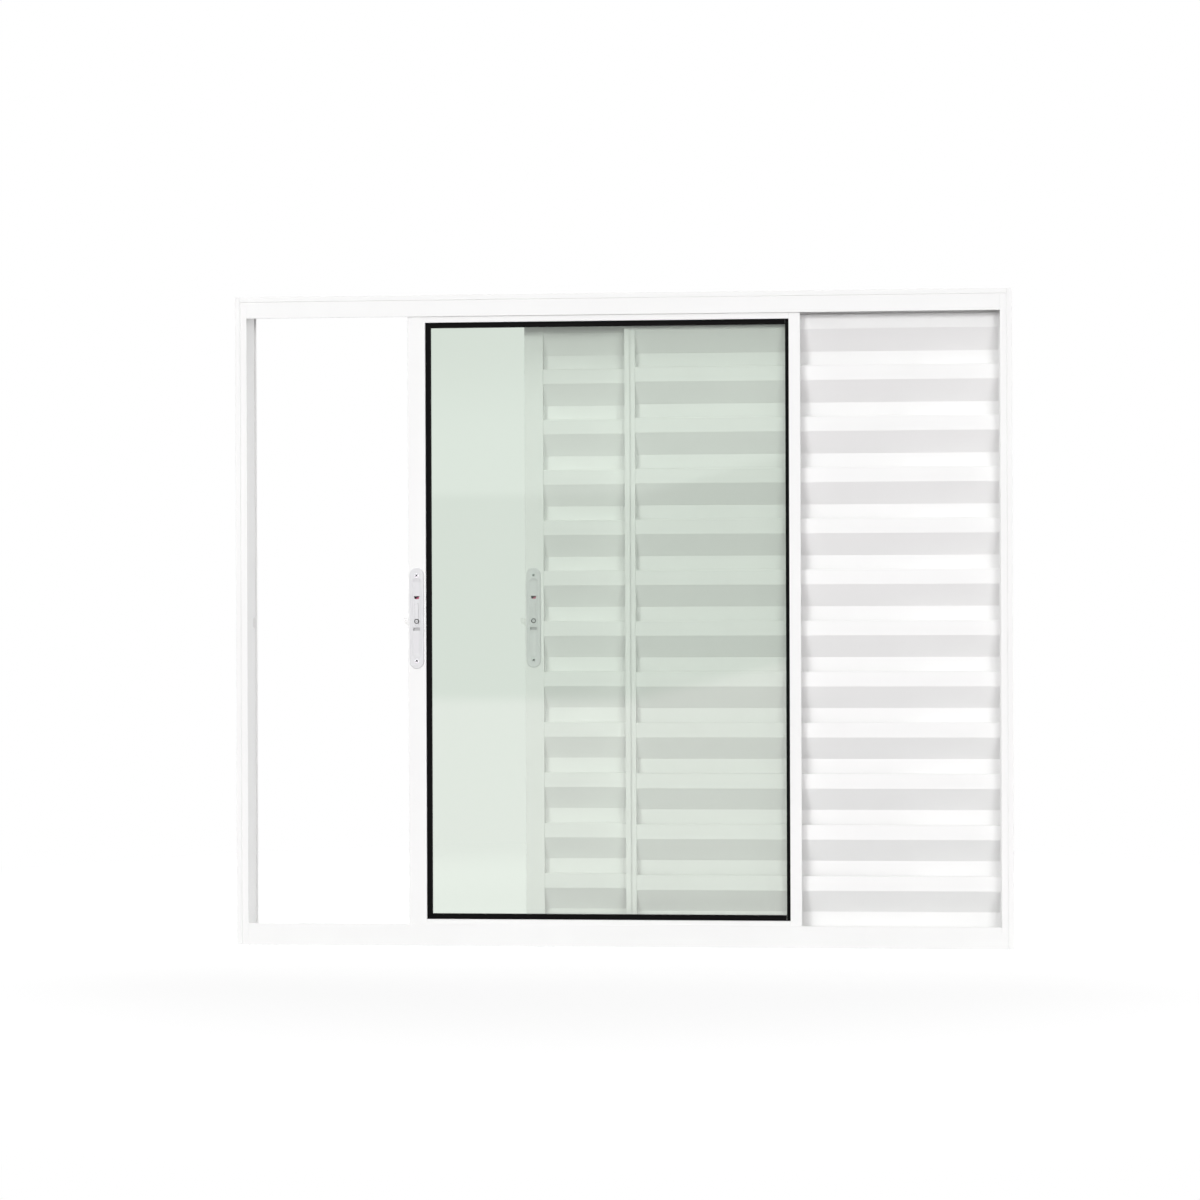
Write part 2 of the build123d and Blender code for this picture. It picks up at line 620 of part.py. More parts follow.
def tongue_slot(left, plane):
    """Slot in the edge of a stile that the tongue comes out of."""
    half = TONGUE_WALL / 2 + FIT
    top = LATCH_CENTRE + TONGUE_RISE + FIT
    slot = patch(plane - half, top - TONGUE_HEIGHT - 2 * FIT, plane + half, top)
    return along_x(slot, left, left + LEAF_WALL)


def latch_tongue(left, plane):
    """Hooked tongue on the leaf's edge: an upward barb, an upright nose and a slope."""
    high = LATCH_CENTRE + TONGUE_RISE
    outline = Polyline(
        (left + TONGUE_ROOT, high - TONGUE_BARB_RISE),
        (left - TONGUE_REACH + TONGUE_BARB, high - TONGUE_BARB_RISE),
        (left - TONGUE_REACH + TONGUE_BARB - TONGUE_BARB_RISE / 2, high),
        (left - TONGUE_REACH, high),
        (left - TONGUE_REACH, high - TONGUE_NOSE),
        (left, high - TONGUE_HEIGHT),
        (left + TONGUE_ROOT, high - TONGUE_HEIGHT),
        close=True,
    )
    tongue = extrude(Plane.XZ * make_face(outline), TONGUE_WALL)
    return Pos(0, plane + TONGUE_WALL / 2, 0) * tongue


def build():
    """All pieces by the name of their node."""
    louvre_inner = LOUVRE_LEFT + LOUVRE_LATCH_STILE
    louvre_outer = LOUVRE_LEFT + LEAF_WIDTH - MEETING_STILE
    fixed_inner = FIXED_LEFT + MEETING_STILE
    fixed_outer = JAMB_WEB - LEAF_WALL
    pieces = {
        "head": head(),
        "sill": sill(),
        "left_jamb": jamb(-1),
        "right_jamb": jamb(1),
        "left_jamb_cover": left_jamb_cover(),
        "sash_latch_stile": sash_latch_stile(),
        "sash_meeting_stile": sash_meeting_stile(),
        "sash_top_rail": sash_rail(LEAF_HIGH - SASH_TOP_RAIL, LEAF_HIGH, -1, False),
        "sash_bottom_rail": sash_rail(LEAF_LOW, LEAF_LOW + SASH_BOTTOM_RAIL, 1, True),
        "pane": pane(),
        "pane_gasket": pane_gasket(),
        "louvre_latch_stile": louvre_latch_stile(),
        "louvre_meeting_stile": louvre_meeting_stile(),
        "louvre_top_rail": louvre_top_rail(LOUVRE_PLANE, louvre_inner, louvre_outer),
        "louvre_bottom_rail": louvre_bottom_rail(LOUVRE_PLANE, louvre_inner, louvre_outer),
        "fixed_meeting_stile": fixed_meeting_stile(),
        "fixed_end_channel": fixed_end_channel(),
        "fixed_top_rail": louvre_top_rail(FIXED_PLANE, fixed_inner, JAMB_EDGE),
        "fixed_bottom_rail": louvre_bottom_rail(FIXED_PLANE, fixed_inner, JAMB_EDGE),
        "rollers": rollers(),
        "sash_latch_plate": latch_plate(SASH_LEFT, SASH_PLANE),
        "sash_latch_slide": latch_slide(SASH_LEFT, SASH_PLANE),
        "sash_latch_tongue": latch_tongue(SASH_LEFT, SASH_PLANE),
        "louvre_latch_plate": latch_plate(LOUVRE_LEFT, LOUVRE_PLANE),
        "louvre_latch_slide": latch_slide(LOUVRE_LEFT, LOUVRE_PLANE),
        "louvre_latch_tongue": latch_tongue(LOUVRE_LEFT, LOUVRE_PLANE),
    }
    for index, slat in enumerate(slats(LOUVRE_PLANE, louvre_inner, louvre_outer), 1):
        pieces[f"sliding_slat_{index:02d}"] = slat
    for index, slat in enumerate(slats(FIXED_PLANE, fixed_inner, fixed_outer), 1):
        pieces[f"fixed_slat_{index:02d}"] = slat
    return pieces


os.makedirs("parts", exist_ok=True)
for name, piece in build().items():
    export_step(piece, f"parts/{name}.step")
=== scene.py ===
# %% [markdown]
# # Dressing a louvred sliding window
#
# The window has three leaves in one white aluminium frame: a glass sash nearest the room,
# a fixed louvred leaf behind it at the right and a sliding louvred leaf outside that one.
# The construction comes finished from the CAD model, so this lesson is about finishes,
# small fasteners, light and camera. Nothing of it is moved or reshaped here.

# %% Load the window
import json
import math

import bmesh
import bpy
from mathutils import Euler, Matrix, Vector


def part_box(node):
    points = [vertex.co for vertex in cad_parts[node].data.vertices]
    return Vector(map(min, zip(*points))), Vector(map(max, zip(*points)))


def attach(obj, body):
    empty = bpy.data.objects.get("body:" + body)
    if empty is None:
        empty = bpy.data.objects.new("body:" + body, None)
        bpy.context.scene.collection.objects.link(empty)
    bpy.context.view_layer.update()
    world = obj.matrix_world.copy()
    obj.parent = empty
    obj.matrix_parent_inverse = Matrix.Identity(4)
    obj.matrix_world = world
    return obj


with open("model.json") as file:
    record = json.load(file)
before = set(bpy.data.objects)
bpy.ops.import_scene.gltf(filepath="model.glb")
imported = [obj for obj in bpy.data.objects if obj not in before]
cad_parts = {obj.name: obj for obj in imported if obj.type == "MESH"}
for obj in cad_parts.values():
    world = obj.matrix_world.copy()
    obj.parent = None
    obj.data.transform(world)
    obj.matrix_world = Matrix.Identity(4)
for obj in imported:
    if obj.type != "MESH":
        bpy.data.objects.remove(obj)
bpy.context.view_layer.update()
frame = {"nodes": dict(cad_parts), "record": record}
nodes = frame["nodes"]
MM = 0.001
print("CAD nodes:", len(nodes))

# %% [markdown]
# ## Start a material and lay noise on it
#
# A finish could be painted on UV maps, but these profiles have none, and a texture image
# would have to be stored. Procedural nodes on Object coordinates are sharper and smaller:
# every piece sits at the origin, so the same pattern runs on from one piece to the next,
# and one millimetre in the pattern is one millimetre on the window.

# %% Start a material and lay noise on it


def start_material(name):
    """A new material, its node tree and the Principled shader in it."""
    material = bpy.data.materials.new(name)
    material.use_nodes = True
    tree = material.node_tree
    return material, tree, tree.nodes["Principled BSDF"]


def coordinates(tree, space="Object"):
    """Where a point lies: in metres on a piece, or as a direction in the world."""
    return tree.nodes.new("ShaderNodeTexCoord").outputs[space]


def noise_on_object(tree, grain, detail=2.0, stretch=(1.0, 1.0, 1.0)):
    """Noise whose grains are that many metres long; stretch draws them out along an axis."""
    mapping = tree.nodes.new("ShaderNodeMapping")
    noise = tree.nodes.new("ShaderNodeTexNoise")
    mapping.inputs["Scale"].default_value = [1.0 / s for s in stretch]
    noise.inputs["Scale"].default_value = 1.0 / grain
    noise.inputs["Detail"].default_value = detail
    tree.links.new(coordinates(tree), mapping.inputs["Vector"])
    tree.links.new(mapping.outputs["Vector"], noise.inputs["Vector"])
    return noise.outputs["Fac"]


print("pieces at the origin:", sum(node.location.length == 0.0 for node in nodes.values()))

# %% [markdown]
# ## From noise to colour, gloss and height
#
# On a real coat, colour, gloss and height all change a little over the surface. A noise
# mostly stays near the middle of its range, so its middle part is spread over the whole
# range of a finish. A Color Ramp could do that too, but a Map Range node takes its four
# ends as plain numbers. A bump gives the height, because dimples a few hundredths of a
# millimetre deep aren't worth any faces.

# %% From noise to colour, gloss and height
NOISE_MIDDLE = (0.3, 0.7)
WHOLE = (0.0, 1.0)


def mapped(tree, value, given, wanted, smooth=False):
    """Map a value from the given range onto the wanted one."""
    ramp = tree.nodes.new("ShaderNodeMapRange")
    if smooth:
        ramp.interpolation_type = "SMOOTHSTEP"
    for title, end in zip(("From Min", "From Max", "To Min", "To Max"), (*given, *wanted)):
        ramp.inputs[title].default_value = end
    tree.links.new(value, ramp.inputs["Value"])
    return ramp.outputs["Result"]


def blend_colours(tree, noise, first, second):
    """Mix two colours by a noise."""
    mix = tree.nodes.new("ShaderNodeMix")
    mix.data_type = "RGBA"
    mix.inputs["A"].default_value = (*first, 1.0)
    mix.inputs["B"].default_value = (*second, 1.0)
    tree.links.new(mapped(tree, noise, NOISE_MIDDLE, WHOLE), mix.inputs["Factor"])
    return mix.outputs["Result"]


def colour_and_gloss(tree, shader, tone, colours, cloud, gloss):
    """Shift a shader's colour by one noise and its roughness by another, or the same."""
    tree.links.new(blend_colours(tree, tone, *colours), shader.inputs["Base Color"])
    tree.links.new(mapped(tree, cloud, NOISE_MIDDLE, gloss), shader.inputs["Roughness"])


def rough_surface(tree, shader, height, depth):
    """Give a shader a bump whose full height is that many metres."""
    bump = tree.nodes.new("ShaderNodeBump")
    bump.inputs["Distance"].default_value = depth
    bump.inputs["Strength"].default_value = 1.0
    tree.links.new(height, bump.inputs["Height"])
    tree.links.new(bump.outputs["Normal"], shader.inputs["Normal"])


print("noise is spread from", NOISE_MIDDLE, "to", WHOLE)

# %% [markdown]
# ## White powder coat
#
# The profiles are aluminium with a white powder coat. Seen close, such a coat isn't
# smooth: it flows out in the oven into soft dimples a millimetre or two wide, called
# orange peel, and its gloss changes a little from place to place. One noise could drive
# all three, but they differ in size on a real coat. So one noise makes the dimples as
# bump, a slower one shifts the gloss, and a very slow one shifts the white.

# %% Powder coat
COAT_WHITES = ((0.925, 0.925, 0.92), (0.905, 0.905, 0.9))
TONE_GRAIN = 0.12
CLOUD_GRAIN = 0.018
DIMPLE_GRAIN = 0.0016
DIMPLE_DETAIL = 1.5
DIMPLE_DEPTH = 0.00002


def powder_coat(name, gloss, stretch=(1.0, 1.0, 1.0)):
    """White powder coat; stretch draws its dimples out along a rolled sheet."""
    material, tree, shader = start_material(name)
    tone = noise_on_object(tree, TONE_GRAIN)
    cloud = noise_on_object(tree, CLOUD_GRAIN)
    colour_and_gloss(tree, shader, tone, COAT_WHITES, cloud, gloss)
    dimples = noise_on_object(tree, DIMPLE_GRAIN, DIMPLE_DETAIL, stretch)
    rough_surface(tree, shader, dimples, DIMPLE_DEPTH)
    return material


def tell(*materials):
    """Print how many nodes each material has."""
    for material in materials:
        print(material.name, len(material.node_tree.nodes), "nodes")


profile_coat = powder_coat("profile_coat", gloss=(0.34, 0.44))
tell(profile_coat)

# %% [markdown]
# ## Coat on the slats
#
# The slats are bent from coated sheet, not extruded. A rolling mill leaves faint lines
# along a sheet, and the coat follows them. A Wave texture would make them too regular, so
# the same powder coat is used with its dimples drawn out along X, the way the slats run.

# %% Slat coat
ALONG_SLATS = (14.0, 1.0, 1.0)
slat_coat = powder_coat("slat_coat", gloss=(0.38, 0.5), stretch=ALONG_SLATS)
tell(slat_coat)

# %% [markdown]
# ## Latch coat, rubber and nylon
#
# A latch is a small casting with a pale grey coat. Its gloss is lower and its grain finer
# than the frame's. Its hooked tongue is moulded in white nylon, so that it slides quietly
# into the keeper. The gasket is black rubber, drawn through a die, so its surface has
# fine specks and no shine. The rollers are moulded in grey nylon. On pieces this small one
# fine grain can shift colour, gloss and height together, so one helper makes them all.

# %% Latch coat, rubber and nylon


def grained(name, colours, grain, depth, gloss, metallic=0.0, shine=0.5):
    """A finish with one fine grain that shifts its colour, its gloss and its height."""
    material, tree, shader = start_material(name)
    speck = noise_on_object(tree, grain)
    colour_and_gloss(tree, shader, speck, colours, speck, gloss)
    shader.inputs["Metallic"].default_value = metallic
    shader.inputs["Specular IOR Level"].default_value = shine
    rough_surface(tree, shader, speck, depth)
    return material


latch_coat = grained(
    "latch_coat", ((0.72, 0.72, 0.735), (0.76, 0.76, 0.775)),
    grain=0.0006, depth=0.00001, gloss=(0.3, 0.42),
)
white_nylon = grained(
    "white_nylon", ((0.82, 0.82, 0.81), (0.86, 0.86, 0.85)),
    grain=0.0008, depth=0.00001, gloss=(0.4, 0.5),
)
black_rubber = grained(
    "black_rubber", ((0.002, 0.002, 0.002), (0.004, 0.004, 0.004)),
    grain=0.0005, depth=0.00003, gloss=(0.6, 0.8), shine=0.05,
)
grey_nylon = grained(
    "nylon", ((0.26, 0.26, 0.28), (0.32, 0.32, 0.34)),
    grain=0.0008, depth=0.00002, gloss=(0.4, 0.55),
)
tell(latch_coat, white_nylon, black_rubber, grey_nylon)

# %% [markdown]
# ## Metal and lacquer inside the latches
#
# The screws are steel with a bright coat of zinc, which is the only bare metal here, so
# it alone is metallic. The case and the button's ring are dark blackened steel, and the
# same dark finish lines each screw's recess as painted shade. The slide's carriage is a
# plain grey casting, and the flag that shows whether the latch is open is sheet with a red
# lacquer. A flat colour would do at this size, but it would look like plastic close up, so
# the same fine grain is used.

# %% Metal and lacquer inside the latches
zinc = grained(
    "zinc", ((0.55, 0.56, 0.58), (0.66, 0.67, 0.68)),
    grain=0.0004, depth=0.000005, gloss=(0.3, 0.42), metallic=1.0,
)
# dark blackened steel for the case and the button's ring, and painted shade in the screws'
# recesses
dark_steel_and_shade = grained(
    "dark_steel_and_shade", ((0.02, 0.02, 0.022), (0.035, 0.035, 0.038)),
    grain=0.0007, depth=0.00001, gloss=(0.45, 0.6), shine=0.2,
)
grey_casting = grained(
    "grey_casting", ((0.5, 0.5, 0.51), (0.56, 0.56, 0.57)),
    grain=0.0006, depth=0.00001, gloss=(0.4, 0.5),
)
red_lacquer = grained(
    "red_lacquer", ((0.4, 0.015, 0.09), (0.48, 0.02, 0.12)),
    grain=0.0006, depth=0.00001, gloss=(0.35, 0.45),
)
tell(zinc, dark_steel_and_shade, grey_casting, red_lacquer)

# %% [markdown]
# ## Which rays ask
#
# A real pane lets the lamps' light through, and a real white wall is simply seen. In a
# picture made from rays both are easier to get by asking what a ray is for: the Light
# Path node marks shadow and diffuse rays, which only look for light, and camera, glossy
# and transmission rays, which look at things. These helpers turn such marks into a share
# from 0 to 1, for the pane, the floor and the world.

# %% Which rays ask
LIGHT_RAYS = ("Shadow", "Diffuse")
SEEING_RAYS = ("Camera", "Glossy", "Transmission")


def worked_out(tree, operation, first, second):
    """The result of one Math node, each side of which is a socket or a number."""
    step = tree.nodes.new("ShaderNodeMath")
    step.operation = operation
    for entry, side in zip(step.inputs, (first, second)):
        if isinstance(side, float):
            entry.default_value = side
        else:
            tree.links.new(side, entry)
    return step.outputs["Value"]


def ray_is(tree, kinds):
    """1 for rays of these kinds and 0 for the others."""
    path = tree.nodes.new("ShaderNodeLightPath")
    mark = path.outputs[f"Is {kinds[0]} Ray"]
    for kind in kinds[1:]:
        mark = worked_out(tree, "MAXIMUM", mark, path.outputs[f"Is {kind} Ray"])
    return mark


def mixed(tree, share, first, second):
    """The first shader where share is 0, and the second where it is 1."""
    both = tree.nodes.new("ShaderNodeMixShader")
    for entry, source in zip(both.inputs, (share, first, second)):
        tree.links.new(source, entry)
    return both.outputs["Shader"]


def show(tree, shader):
    """Make a shader the surface of its material."""
    tree.links.new(shader, tree.nodes["Material Output"].inputs["Surface"])


print("light:", *LIGHT_RAYS, "- sight:", *SEEING_RAYS)

# %% [markdown]
# ## Glass
#
# Float glass has a green cast, because light crosses iron in it. A Glass shader would
# bend the view and cast a dark shadow, since lamps can't find their way through it. The
# pane is flat, so bending doesn't show: a tinted Transparent shader carries the view, and
# a mirror is mixed in by Fresnel, more of it at a slant. Each of the two faces passes the
# root of the whole tint. A view that isn't bent meets the second face from inside at the
# same slant, where Fresnel would shut it off, so that face gets the index turned over.
# Rays that only ask for light pass untinted.

# %% Pane glass
FACE_TINT = (0.818, 0.861, 0.817)
MIRROR_INDEX = 1.6
MIRROR_COLOURS = ((0.97, 1.0, 0.985), (1.0, 1.0, 1.0))
MIRROR_GLOSS = (0.0, 0.03)
SMEAR_GRAIN = 0.15


def mirror_share(tree):
    """How much of the light a face mirrors, the same from inside as from outside."""
    geometry = tree.nodes.new("ShaderNodeNewGeometry")
    fresnel = tree.nodes.new("ShaderNodeFresnel")
    index_range = (MIRROR_INDEX, 1.0 / MIRROR_INDEX)
    index = mapped(tree, geometry.outputs["Backfacing"], WHOLE, index_range)
    tree.links.new(index, fresnel.inputs["IOR"])
    return fresnel.outputs["Fac"]


def see_through(tree, colour):
    """Glass that is seen through without a bend."""
    view = tree.nodes.new("ShaderNodeBsdfTransparent")
    view.inputs["Color"].default_value = (*colour, 1.0)
    return view.outputs["BSDF"]


def pane_glass():
    """Tinted glass that mirrors more at a slant and lets the lamps' light through."""
    material, tree, mirror = start_material("pane_glass")
    mirror.inputs["Metallic"].default_value = 1.0
    smear = noise_on_object(tree, SMEAR_GRAIN)
    colour_and_gloss(tree, mirror, smear, MIRROR_COLOURS, smear, MIRROR_GLOSS)
    view = see_through(tree, FACE_TINT)
    face = mixed(tree, mirror_share(tree), view, mirror.outputs["BSDF"])
    clear = see_through(tree, (1.0, 1.0, 1.0))
    show(tree, mixed(tree, ray_is(tree, LIGHT_RAYS), face, clear))
    return material


glass = pane_glass()
tell(glass)

# %% [markdown]
# ## Which piece gets which finish
#
# Each real piece comes to the bench with its finish on. Fifty lines could say so one by
# one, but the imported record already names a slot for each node, so one short rule follows
# those slots. Only the slats and the latches' tongues differ from the rest of their slot.

# %% Dress the CAD nodes
FINISH_OF_SLOT = {
    "white_paint": profile_coat,
    "latch_grey": latch_coat,
    "black_gasket": black_rubber,
    "grey_nylon": grey_nylon,
    "clear_glass": glass,
}
slot_of = {part["node"]: part["material_slot"] for part in frame["record"]["subparts"]}


def dress(name, piece):
    """Give a CAD node's object the finish that its slot and its name ask for."""
    finish = FINISH_OF_SLOT[slot_of[name]]
    if "slat" in name:
        finish = slat_coat
    if "tongue" in name:
        finish = white_nylon
    piece.data.materials.clear()
    piece.data.materials.append(finish)


for node_name, node in nodes.items():
    dress(node_name, node)
print("dressed:", len(nodes))

# %% [markdown]
# ## Screw heads
#
# Two screws hold each latch and eight hold the frame's corners. A head is round, and its
# section says all about it. So its outline is spun round in a few rings, which gives a
# closed mesh with fewer faces than a bevelled cylinder. In a latch it is a cone that sits
# in the plate's countersunk seat, with a rim and a low dome. At a corner it is a pan head
# that stands on the jamb. Both are made once, at the origin, and stay out of the scene
# until a tree repeats them.

# %% Screw heads
SPIN_STEPS = 32


def closed_object(name, shape):
    """An object with the mesh of a closed shape, its faces turned outwards."""
    bmesh.ops.recalc_face_normals(shape, faces=shape.faces)
    mesh = bpy.data.meshes.new(name)
    shape.to_mesh(mesh)
    shape.free()
    return bpy.data.objects.new(name, mesh)


def ring_of(shape, radius, height):
    """One ring of corners round Z, from a radius and a height in mm."""
    angles = [math.tau * step / SPIN_STEPS for step in range(SPIN_STEPS)]
    return [
        shape.verts.new((radius * MM * math.cos(a), radius * MM * math.sin(a), height * MM))
        for a in angles
    ]


def spun(name, outline, hollow=False):
    """A closed mesh turned round Z from (radius, height) points in mm, bottom first.

    A hollow outline goes round the section of a ring and closes on itself."""
    shape = bmesh.new()
    rings = [ring_of(shape, radius, height) for radius, height in outline]
    following = rings[1:] + rings[:1] if hollow else rings[1:]
    for low, high in zip(rings, following):
        for step in range(SPIN_STEPS):
            after = (step + 1) % SPIN_STEPS
            shape.faces.new((low[step], low[after], high[after], high[step]))
    if not hollow:
        shape.faces.new(rings[0][::-1])
        shape.faces.new(rings[-1])
    return closed_object(name, shape)


latch_head = spun("latch_head", [
    (2.5, -0.76), (3.36, -0.1), (3.5, 0.0), (3.25, 0.16), (2.45, 0.34), (1.2, 0.44),
])
pan_head = spun("pan_head", [
    (3.6, 0.0), (3.75, 0.3), (3.75, 1.1), (3.3, 1.75), (2.4, 2.1), (1.2, 2.2),
])
print("corners of the two heads:", len(latch_head.data.vertices), len(pan_head.data.vertices))

# %% [markdown]
# ## Recesses
#
# A driver's cross is punched into a real head and narrows downwards, so that the driver
# centres itself. It could be drawn into the head's own mesh, but a shape to cut with is
# simpler, and it is easily turned, because hardly any screw ends up straight. It is an
# outline at the top and the same outline, drawn in, at the bottom, with walls between the
# two.

# %% Recesses


def walled(name, first, second):
    """A closed mesh between two rings of points that go round the same way."""
    shape = bmesh.new()
    near = [shape.verts.new(point) for point in first]
    far = [shape.verts.new(point) for point in second]
    shape.faces.new(near)
    shape.faces.new(far[::-1])
    for index, here in enumerate(near):
        after = (index + 1) % len(near)
        shape.faces.new((here, far[index], far[after], near[after]))
    return closed_object(name, shape)


def cross_outline(reach, width):
    """Corners of a cross, whose arms reach that far from its middle."""
    half = width / 2
    return [
        (reach, -half), (reach, half), (half, half), (half, reach),
        (-half, reach), (-half, half), (-reach, half), (-reach, -half),
        (-half, -half), (-half, -reach), (half, -reach), (half, -half),
    ]


def recess(name, outline, low, high, turn, narrowing=1.0):
    """An outline in mm, turned about Z, that narrows from high to low."""
    spin = Matrix.Rotation(math.radians(turn), 4, "Z")

    def ring_at(height, share):
        return [
            spin @ Vector((x * MM * share, y * MM * share, height * MM)) for x, y in outline
        ]

    return walled(name, ring_at(high, 1.0), ring_at(low, narrowing))


latch_cross = recess(
    "latch_cross", cross_outline(reach=2.8, width=1.6), low=-0.65, high=0.9, turn=40,
    narrowing=0.65,
)
pan_cross = recess(
    "pan_cross", cross_outline(reach=2.3, width=1.1), low=0.5, high=2.6, turn=20,
    narrowing=0.5,
)
print("corners of the two crosses:", len(latch_cross.data.vertices), len(pan_cross.data.vertices))

# %% [markdown]
# ## A tree for rows of screws
#
# Screws are driven in rows, and every row here differs only in its head, its recess, its
# place and its finish. Each could be a tree of its own, or the tree could be copied and
# changed. One tree with named inputs is shorter, and a row then is a set of values.

# %% Inputs of the tree
SCREW_INPUTS = {
    "Head": "NodeSocketObject",
    "Recess": "NodeSocketObject",
    "Count": "NodeSocketInt",
    "Start": "NodeSocketVector",
    "Step": "NodeSocketVector",
    "Turn": "NodeSocketVector",
    "Finish": "NodeSocketMaterial",
    "Recess Finish": "NodeSocketMaterial",
}


def new_tree(name, inputs):
    """A Geometry Nodes tree with one output, and the identifier of each named input."""
    tree = bpy.data.node_groups.new(name, "GeometryNodeTree")
    sockets = tree.interface
    sockets.new_socket(name="Geometry", in_out="OUTPUT", socket_type="NodeSocketGeometry")
    keys = {
        title: sockets.new_socket(name=title, in_out="INPUT", socket_type=kind).identifier
        for title, kind in inputs.items()
    }
    return tree, keys


print("inputs of the screw tree:", ", ".join(SCREW_INPUTS))

# %% [markdown]
# ## The tree cuts the screw
#
# A Boolean modifier could cut each head, but the tree can cut one and then repeat it. Little
# light gets down into a real recess, and that shade is painted here: head and recess each
# get a finish before the cut, and the walls of the recess keep the dark one of the shape
# that cut them, as painted shade. No face is left bare.

# %% Cut the recess


def coated(tree, geometry, finish):
    """A Set Material node that gives all that arrives one finish."""
    coat = tree.nodes.new("GeometryNodeSetMaterial")
    tree.links.new(geometry, coat.inputs["Geometry"])
    tree.links.new(finish, coat.inputs["Material"])
    return coat


def object_given(tree, entry):
    """The mesh of an object that one of the tree's inputs names."""
    source = tree.nodes.new("GeometryNodeObjectInfo")
    tree.links.new(entry, source.inputs["Object"])
    return source.outputs["Geometry"]


def cut_screw(tree, given):
    """The head with its recess cut out of it."""
    whole = coated(tree, object_given(tree, given["Head"]), given["Finish"])
    hollow = coated(tree, object_given(tree, given["Recess"]), given["Recess Finish"])
    cut = tree.nodes.new("GeometryNodeMeshBoolean")
    cut.operation = "DIFFERENCE"
    tree.links.new(whole.outputs["Geometry"], cut.inputs["Mesh 1"])
    tree.links.new(hollow.outputs["Geometry"], cut.inputs["Mesh 2"])
    return cut.outputs["Mesh"]


print("finishes of a cut screw:", len([title for title in SCREW_INPUTS if "Finish" in title]))

# %% [markdown]
# ## The tree repeats the screw
#
# A row has a count and a step. Its screws could be copied by hand, but a line of points
# and Instance on Points need only those two values, and a turn that faces the copies the
# way they are driven. An export drops instances, so they are made real, and a last Set
# Material coats all the faces that aren't the recess's own.

# %% The screw row tree


def row_of(tree, given, shape):
    """Real copies of a shape on the points of a line."""
    line = tree.nodes.new("GeometryNodeMeshLine")
    copies = tree.nodes.new("GeometryNodeInstanceOnPoints")
    real = tree.nodes.new("GeometryNodeRealizeInstances")
    line.mode = "OFFSET"
    link = tree.links.new
    link(given["Count"], line.inputs["Count"])
    link(given["Start"], line.inputs["Start Location"])
    link(given["Step"], line.inputs["Offset"])
    link(line.outputs["Mesh"], copies.inputs["Points"])
    link(shape, copies.inputs["Instance"])
    link(given["Turn"], copies.inputs["Rotation"])
    link(copies.outputs["Instances"], real.inputs["Geometry"])
    return real.outputs["Geometry"]


def outside_recess(tree, given):
    """The faces that don't have the recess's finish."""
    in_recess = tree.nodes.new("GeometryNodeMaterialSelection")
    elsewhere = tree.nodes.new("FunctionNodeBooleanMath")
    elsewhere.operation = "NOT"
    tree.links.new(given["Recess Finish"], in_recess.inputs["Material"])
    tree.links.new(in_recess.outputs["Selection"], elsewhere.inputs[0])
    return elsewhere.outputs["Boolean"]


def screw_row_tree():
    """The whole tree: cut, repeat, make real, coat."""
    tree, keys = new_tree("screw_row", SCREW_INPUTS)
    given = tree.nodes.new("NodeGroupInput").outputs
    result = tree.nodes.new("NodeGroupOutput")
    last = coated(tree, row_of(tree, given, cut_screw(tree, given)), given["Finish"])
    tree.links.new(outside_recess(tree, given), last.inputs["Selection"])
    tree.links.new(last.outputs["Geometry"], result.inputs["Geometry"])
    return tree, keys


screw_tree, screw_keys = screw_row_tree()
print(screw_tree.name, len(screw_tree.nodes), "nodes")

# %% [markdown]
# ## From tree to plain mesh
#
# A screw in a finished window is a solid thing and no longer a recipe. A live modifier
# would keep the recipe, but the export wants plain meshes. So the modifier's inputs are
# set before the object is evaluated for the first time, the evaluated result becomes a
# mesh of its own, the modifier goes, and the piece rides on the window's one body like
# every CAD node.

# %% Make a piece from a tree


def piece_from_tree(name, tree, keys, values):
    """Run a tree once, with values by the names of its inputs, and keep the mesh."""
    carrier = bpy.data.objects.new(name, bpy.data.meshes.new(name))
    bpy.context.scene.collection.objects.link(carrier)
    modifier = carrier.modifiers.new("shape", "NODES")
    modifier.node_group = tree
    for title, value in values.items():
        modifier[keys[title]] = value
    shaped = carrier.evaluated_get(bpy.context.evaluated_depsgraph_get())
    mesh = bpy.data.meshes.new_from_object(shaped)
    carrier.modifiers.clear()
    carrier.data = mesh
    mesh.name = name
    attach(carrier, "root")
    print(name, len(mesh.polygons), "faces")
    return carrier


def screw_row(name, head, cutter, count, start, step, turn, finish):
    """Heads with their recess cut, set in a row that starts at one point."""
    return piece_from_tree(name, screw_tree, screw_keys, {
        "Head": head, "Recess": cutter, "Count": count, "Start": start, "Step": step,
        # the walls of each recess take the dark finish as painted shade
        "Turn": turn, "Finish": finish, "Recess Finish": dark_steel_and_shade,
    })


print("keys of the inputs:", screw_keys)

# %% [markdown]
# ## Screws in the latches
#
# Each latch plate is held by a countersunk screw near either end. The seats are in the
# plates already. The screws' places could be typed in, but they follow from the plate: on
# its middle line, the same distance above and below its centre, just under its face.

# %% Screws in the latch plates
LEAVES = ("sash", "louvre")
SCREWS_IN_PLATE = 2
LATCH_SCREW_SPACING = 131.4 * MM
HEAD_SINK = 0.2 * MM
TOWARDS_ROOM = Euler((math.radians(90), 0, 0))


def latch_frame(leaf):
    """Middle of a latch's plate, with the y of its face and of its back."""
    low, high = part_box(f"{leaf}_latch_plate")
    return (low + high) / 2, low.y, high.y


for leaf in LEAVES:
    middle, face, _ = latch_frame(leaf)
    screw_row(
        f"{leaf}_latch_screws", latch_head, latch_cross, SCREWS_IN_PLATE,
        start=(middle.x, face + HEAD_SINK, middle.z - LATCH_SCREW_SPACING / 2),
        step=(0, 0, LATCH_SCREW_SPACING), turn=TOWARDS_ROOM, finish=zinc,
    )

